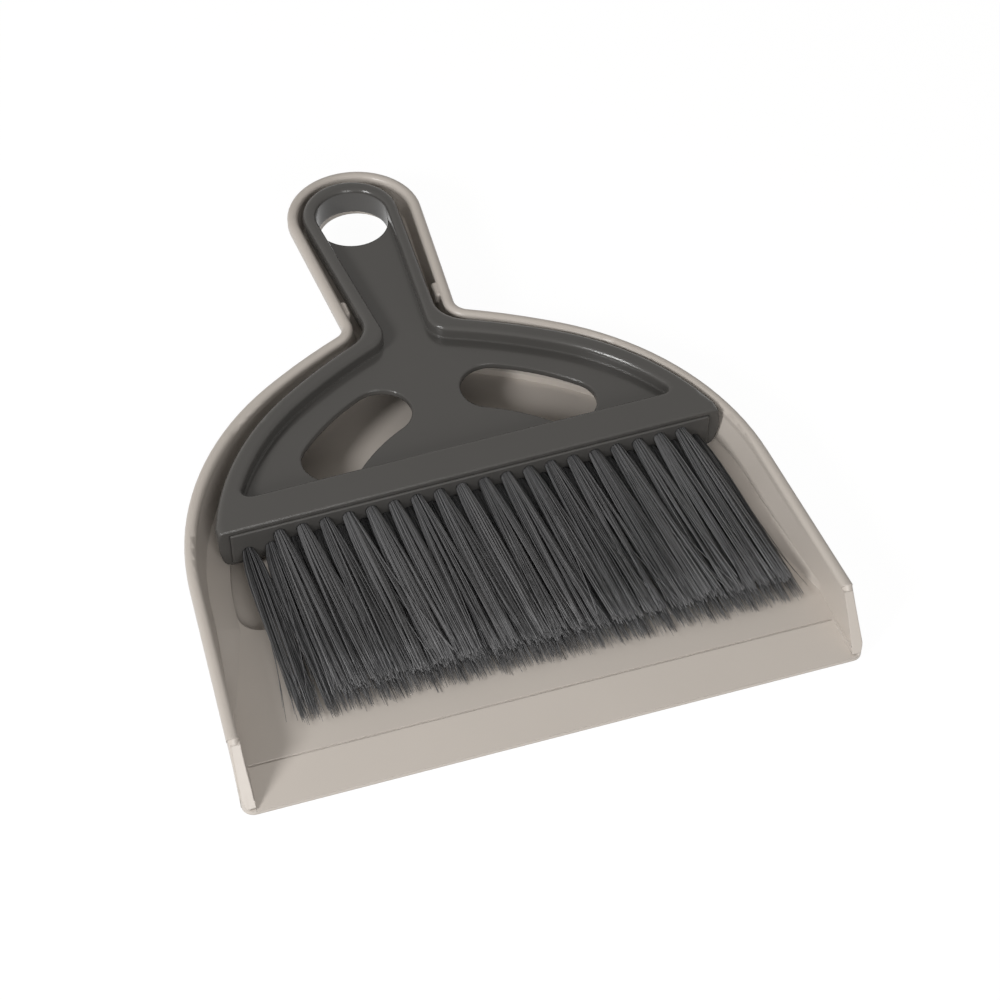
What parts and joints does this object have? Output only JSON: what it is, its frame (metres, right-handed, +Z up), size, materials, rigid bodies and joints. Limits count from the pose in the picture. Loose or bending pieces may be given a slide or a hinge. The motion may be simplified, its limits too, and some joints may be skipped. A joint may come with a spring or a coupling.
{
  "type": "dust pan and brush set",
  "caption": "Flat dust pan with a hanging hole in its handle and a hand brush that nests in it and lifts out.",
  "frame": {"origin": "middle of the plan rectangle, on the surface the pan stands on", "axes": "+Y from the sweeping lip towards the handle, +Z up, +X to the right seen from the lip"},
  "size_m": [0.2082, 0.2694, 0.0223],
  "materials": {
    "pan_plastic": "warm light grey, satin",
    "brush_plastic": "dark grey, satin",
    "block_plastic": "dark grey, satin",
    "bristle": "grey nylon filament",
    "anchor_metal": "plain strip"
  },
  "bodies": {
    "pan": {"dustpan": "pan_plastic"},
    "brush": {"brush_body": "brush_plastic", "tuft_block": "block_plastic", "tuft_upper_01": "bristle", "tuft_upper_02": "bristle", "tuft_upper_03": "bristle", "tuft_upper_04": "bristle", "tuft_upper_05": "bristle", "tuft_upper_06": "bristle", "tuft_upper_07": "bristle", "tuft_upper_08": "bristle", "tuft_upper_09": "bristle", "tuft_upper_10": "bristle", "tuft_upper_11": "bristle", "tuft_upper_12": "bristle", "tuft_upper_13": "bristle", "tuft_upper_14": "bristle", "tuft_upper_15": "bristle", "tuft_upper_16": "bristle", "tuft_upper_17": "bristle", "tuft_upper_18": "bristle", "tuft_upper_19": "bristle", "tuft_lower_01": "bristle", "tuft_lower_02": "bristle", "tuft_lower_03": "bristle", "tuft_lower_04": "bristle", "tuft_lower_05": "bristle", "tuft_lower_06": "bristle", "tuft_lower_07": "bristle", "tuft_lower_08": "bristle", "tuft_lower_09": "bristle", "tuft_lower_10": "bristle", "tuft_lower_11": "bristle", "tuft_lower_12": "bristle", "tuft_lower_13": "bristle", "tuft_lower_14": "bristle", "tuft_lower_15": "bristle", "tuft_lower_16": "bristle", "tuft_lower_17": "bristle", "tuft_lower_18": "bristle", "tuft_lower_19": "bristle", "tuft_lower_20": "bristle", "tuft_lower_21": "bristle", "tuft_anchors": "anchor_metal"}
  },
  "joints": [
    {"name": "brush_lift", "type": "slide", "parent": "pan", "child": "brush", "axis": [0, 0, 1], "range_m": [0, 0.09]}
  ]
}
